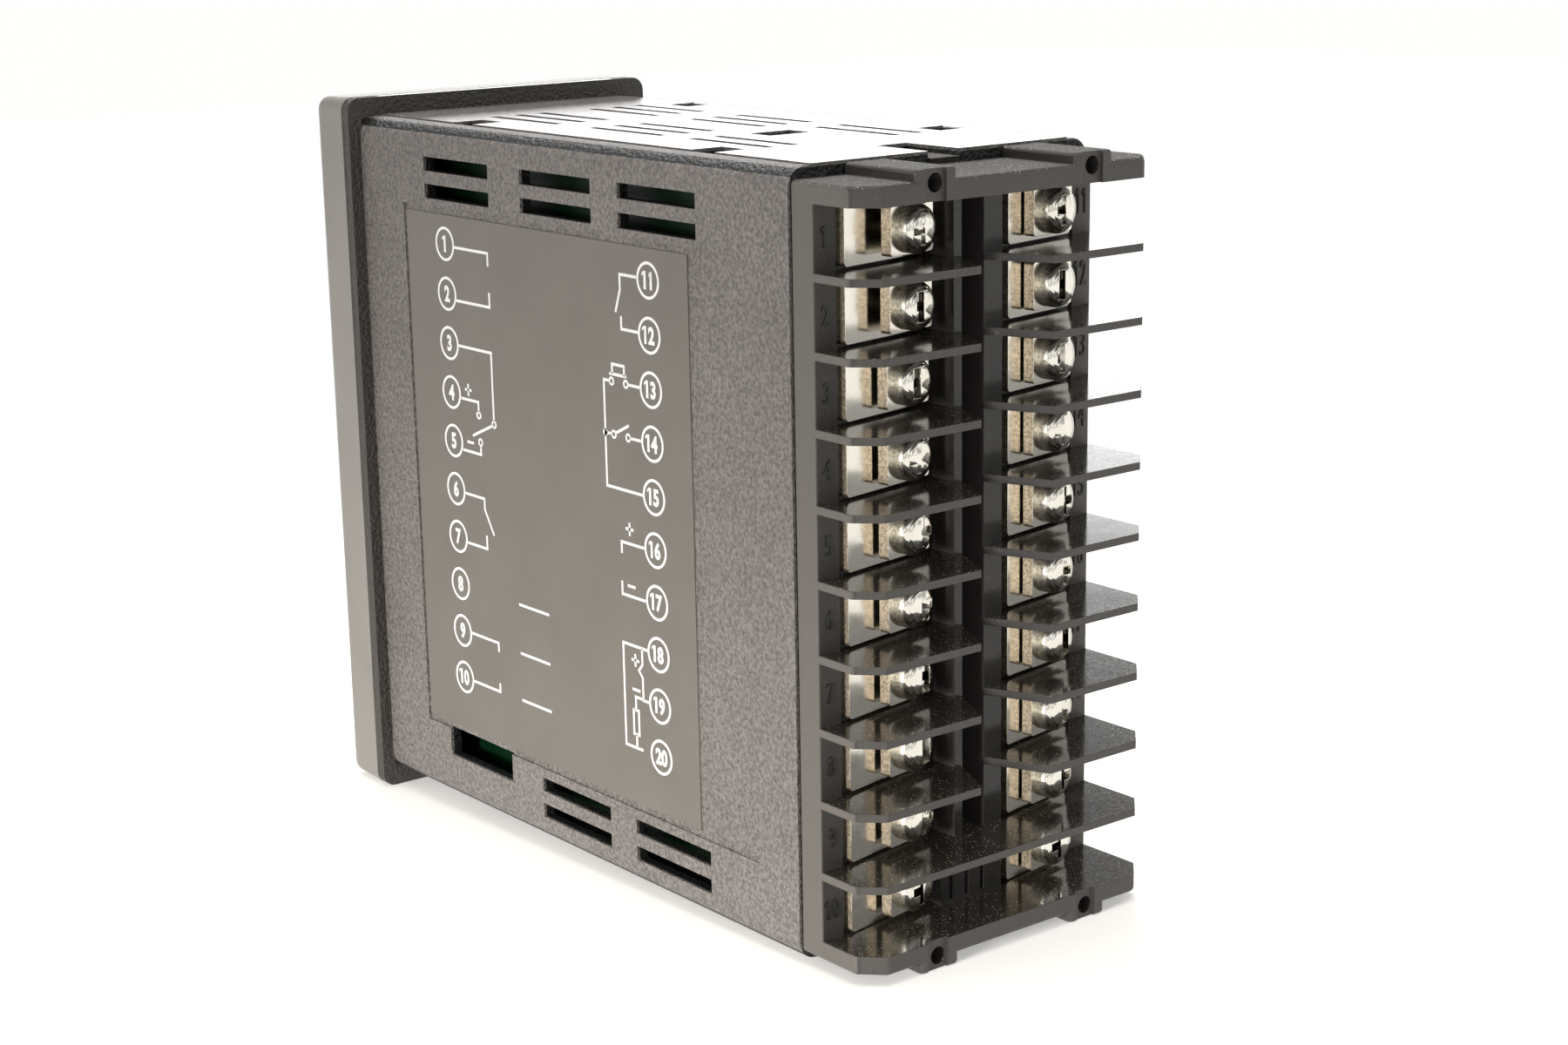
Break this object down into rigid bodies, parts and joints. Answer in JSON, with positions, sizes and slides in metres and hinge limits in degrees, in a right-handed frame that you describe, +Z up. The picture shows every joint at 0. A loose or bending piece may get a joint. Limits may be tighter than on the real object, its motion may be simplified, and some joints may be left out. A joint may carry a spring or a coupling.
{
  "type": "temperature controller",
  "caption": "Panel-mounted temperature controller: vented black case, side wiring label, front keys and a barrier terminal block at the back.",
  "frame": {"origin": "centre of the plane at the back of the bezel's flange, which seats on the panel", "axes": "+X to the right seen from the front, +Y back through the panel towards the terminals, +Z up"},
  "size_m": [0.048, 0.1136, 0.096],
  "materials": {
    "case_plastic": "fine spark-eroded texture",
    "bezel_plastic": "satin",
    "label": "smooth matt foil with pale print",
    "window": "clear smoked",
    "film": "satin",
    "key": "satin",
    "board": "solder mask",
    "display_red": "smooth",
    "display_green": "smooth",
    "lamp": "smooth",
    "header": "moulded",
    "core": "laminated steel",
    "coil": "tape wound",
    "relay": "moulded",
    "capacitor": "sleeved can",
    "chip": "moulded",
    "block_plastic": "glossy moulded",
    "nickel": "bright nickel plate"
  },
  "bodies": {
    "controller": {"case": "case_plastic", "side_label": "label", "bezel": "bezel_plastic", "front_window": "window", "key_film": "film", "front_board": "board", "power_board": "board", "control_board": "board", "process_display": "display_red", "setpoint_display": "display_green", "power_front_header": "header", "control_front_header": "header", "power_rear_header": "header", "control_rear_header": "header", "transformer_core": "core", "transformer_coil": "coil", "output_relay": "relay", "alarm_relay": "relay", "smoothing_capacitor": "capacitor", "input_capacitor": "capacitor", "controller_chip": "chip", "terminal_block": "block_plastic", "square_washers": "nickel", "terminal_screws": "nickel", "level_switch": "chip", "mode_switch": "chip", "down_switch": "chip", "up_switch": "chip", "output_lamp": "lamp", "alarm_lamp": "lamp", "manual_lamp": "lamp", "run_lamp": "lamp", "terminal_plate_01": "nickel", "terminal_plate_02": "nickel", "terminal_plate_03": "nickel", "terminal_plate_04": "nickel", "terminal_plate_05": "nickel", "terminal_plate_06": "nickel", "terminal_plate_07": "nickel", "terminal_plate_08": "nickel", "terminal_plate_09": "nickel", "terminal_plate_10": "nickel", "terminal_plate_11": "nickel", "terminal_plate_12": "nickel", "terminal_plate_13": "nickel", "terminal_plate_14": "nickel", "terminal_plate_15": "nickel", "terminal_plate_16": "nickel", "terminal_plate_17": "nickel", "terminal_plate_18": "nickel", "terminal_plate_19": "nickel", "terminal_plate_20": "nickel"},
    "level_key": {"level_key": "key"},
    "mode_key": {"mode_key": "key"},
    "down_key": {"down_key": "key"},
    "up_key": {"up_key": "key"}
  },
  "joints": [
    {"name": "level_key_press", "type": "slide", "parent": "controller", "child": "level_key", "axis": [0, 1, 0], "range_m": [0, 0.0005], "stiffness_N_per_m": 1500},
    {"name": "mode_key_press", "type": "slide", "parent": "controller", "child": "mode_key", "axis": [0, 1, 0], "range_m": [0, 0.0005], "stiffness_N_per_m": 1500},
    {"name": "down_key_press", "type": "slide", "parent": "controller", "child": "down_key", "axis": [0, 1, 0], "range_m": [0, 0.0005], "stiffness_N_per_m": 1500},
    {"name": "up_key_press", "type": "slide", "parent": "controller", "child": "up_key", "axis": [0, 1, 0], "range_m": [0, 0.0005], "stiffness_N_per_m": 1500}
  ]
}
